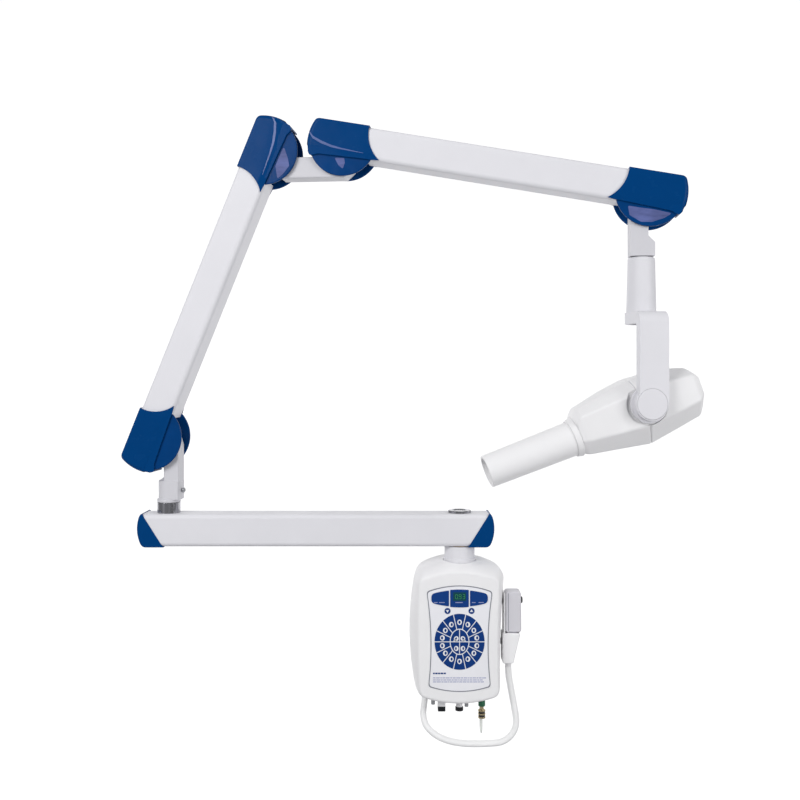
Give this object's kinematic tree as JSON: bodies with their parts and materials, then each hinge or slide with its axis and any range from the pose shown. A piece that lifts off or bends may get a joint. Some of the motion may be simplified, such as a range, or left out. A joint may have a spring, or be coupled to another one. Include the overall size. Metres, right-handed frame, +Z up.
{
  "type": "intraoral x-ray unit",
  "caption": "Wall-mounted dental x-ray unit: control box with keypad and handset, swing arm, two spring scissor arms in blue hoods, and a yoke-held tubehead with a round beam cone.",
  "frame": {"origin": "middle of the wall plate's back face, where the control box meets the wall", "axes": "+Y into the wall, +Z up, +X to the viewer's right; the viewer stands on the -Y side and the swing arm at rest runs along -X"},
  "size_m": [1.1281, 0.2455, 1.2447],
  "materials": {
    "white_plastic": "smooth moulded plastic, satin gloss",
    "grey_plastic": "smooth moulded plastic",
    "white_paint": "powder coat, satin",
    "blue_plastic": "glossy moulded plastic",
    "chrome": "polished",
    "steel": "machined",
    "bronze": "oiled bearing bronze",
    "overlay_film": "printed keypad film",
    "display_lens": "tinted window",
    "circuit_board": "solder mask",
    "iron_core": "varnished core",
    "black_plastic": "moulded",
    "brass": "turned",
    "rubber": "moulded",
    "cord_jacket": "smooth white jacket",
    "wire_jacket": "insulated wire",
    "lead": "rolled lead",
    "tube_glass": "clear glass insert"
  },
  "bodies": {
    "wall_unit": {"wall_plate": "steel", "rear_shell": "white_plastic", "front_cover": "white_plastic", "keypad_overlay": "overlay_film", "display_window": "display_lens", "control_board": "circuit_board", "power_module": "iron_core", "support_column": "steel", "column_collar": "white_plastic", "switch_housing": "black_plastic", "fuse_holder": "black_plastic", "ground_terminal": "brass", "wire_grommet": "rubber", "cover_screws": "steel", "cord_gland": "black_plastic", "handset_cradle": "white_plastic", "handset_cord": "cord_jacket", "ground_wire": "wire_jacket"},
    "power_rocker": {"power_rocker": "black_plastic"},
    "handset": {"handset_body": "grey_plastic", "handset_strain_relief": "white_plastic"},
    "handset_button": {"handset_button": "black_plastic"},
    "swing_arm": {"swing_arm_tube": "white_paint", "swing_cap_outer": "blue_plastic", "swing_cap_inner": "blue_plastic", "column_bushing": "bronze", "column_cap": "chrome", "post_tube": "chrome", "post_bushing": "bronze"},
    "post": {"post_knuckle": "white_paint", "post_spindle": "steel", "lock_screw": "steel"},
    "lower_arm": {"lower_arm_tube": "white_paint", "lower_arm_near_hood": "blue_plastic", "lower_arm_far_hood": "blue_plastic", "lower_arm_pins": "steel", "lower_balance_spring": "steel", "lower_spring_rod": "steel"},
    "lower_tie_rod": {"lower_tie_rod": "steel"},
    "elbow": {"elbow_link": "white_paint"},
    "upper_arm": {"upper_arm_tube": "white_paint", "upper_arm_near_hood": "blue_plastic", "upper_arm_far_hood": "blue_plastic", "upper_arm_pins": "steel", "upper_balance_spring": "steel", "upper_spring_rod": "steel"},
    "upper_tie_rod": {"upper_tie_rod": "steel"},
    "head_post": {"head_knuckle": "white_paint", "swivel_stem": "steel"},
    "yoke": {"swivel_sleeve": "white_paint", "yoke_arm": "white_paint", "yoke_pivot_cap": "white_plastic"},
    "tubehead": {"housing_front": "white_plastic", "housing_rear": "white_plastic", "beam_cone": "white_plastic", "cone_collar": "white_plastic", "lead_diaphragm": "lead", "xray_tube": "tube_glass", "hv_transformer": "iron_core", "tubehead_trunnion": "steel"}
  },
  "joints": [
    {"name": "arm_swing", "type": "hinge", "parent": "wall_unit", "child": "swing_arm", "pos_m": [0, -0.06, 0.204], "axis": [0, 0, 1], "range_deg": [0, 180]},
    {"name": "post_swivel", "type": "hinge", "parent": "swing_arm", "child": "post", "pos_m": [-0.581, -0.06, 0.3], "axis": [0, 0, 1], "range_deg": [-160, 160]},
    {"name": "lower_arm_tilt", "type": "hinge", "parent": "post", "child": "lower_arm", "pos_m": [-0.61183, -0.05676, 0.388], "axis": [0.1045, 0.9945, 0], "range_deg": [-8, 40]},
    {"name": "elbow_level", "type": "hinge", "parent": "lower_arm", "child": "elbow", "pos_m": [-0.38119, -0.081, 0.94787], "axis": [0.1045, 0.9945, 0], "range_deg": [-40, 8]},
    {"name": "lower_rod_tilt", "type": "hinge", "parent": "post", "child": "lower_tie_rod", "pos_m": [-0.6254, -0.03925, 0.40086], "axis": [0.1045, 0.9945, 0], "range_deg": [-8, 40]},
    {"name": "upper_arm_tilt", "type": "hinge", "parent": "elbow", "child": "upper_arm", "pos_m": [-0.22704, -0.0972, 0.96187], "axis": [0.1045, 0.9945, 0], "range_deg": [-5, 30]},
    {"name": "head_level", "type": "hinge", "parent": "upper_arm", "child": "head_post", "pos_m": [0.35409, -0.15828, 0.85515], "axis": [0.1045, 0.9945, 0], "range_deg": [-30, 5]},
    {"name": "upper_rod_tilt", "type": "hinge", "parent": "elbow", "child": "upper_tie_rod", "pos_m": [-0.21543, -0.08234, 0.97919], "axis": [0.1045, 0.9945, 0], "range_deg": [-5, 30]},
    {"name": "head_swivel", "type": "hinge", "parent": "head_post", "child": "yoke", "pos_m": [0.34017, -0.15682, 0.69], "axis": [0, 0, 1], "range_deg": [-170, 170]},
    {"name": "tubehead_tilt", "type": "hinge", "parent": "yoke", "child": "tubehead", "pos_m": [0.33122, -0.15782, 0.457], "axis": [-0.1115, 0.9938, 0], "range_deg": [-110, 70]},
    {"name": "handset_lift", "type": "slide", "parent": "wall_unit", "child": "handset", "axis": [0, 0, 1], "range_m": [0, 0.082]},
    {"name": "handset_button_press", "type": "slide", "parent": "handset", "child": "handset_button", "axis": [-1, 0, 0], "range_m": [0, 0.002], "stiffness_N_per_m": 900, "springref_m": -0.0015},
    {"name": "power_rocker_tilt", "type": "hinge", "parent": "wall_unit", "child": "power_rocker", "pos_m": [-0.036, -0.06, -0.155], "axis": [1, 0, 0], "range_deg": [0, 12]}
  ],
  "couplings": [
    {"joint": "elbow_level", "follows": "lower_arm_tilt", "ratio": -1},
    {"joint": "lower_rod_tilt", "follows": "lower_arm_tilt", "ratio": 1},
    {"joint": "head_level", "follows": "upper_arm_tilt", "ratio": -1},
    {"joint": "upper_rod_tilt", "follows": "upper_arm_tilt", "ratio": 1}
  ]
}
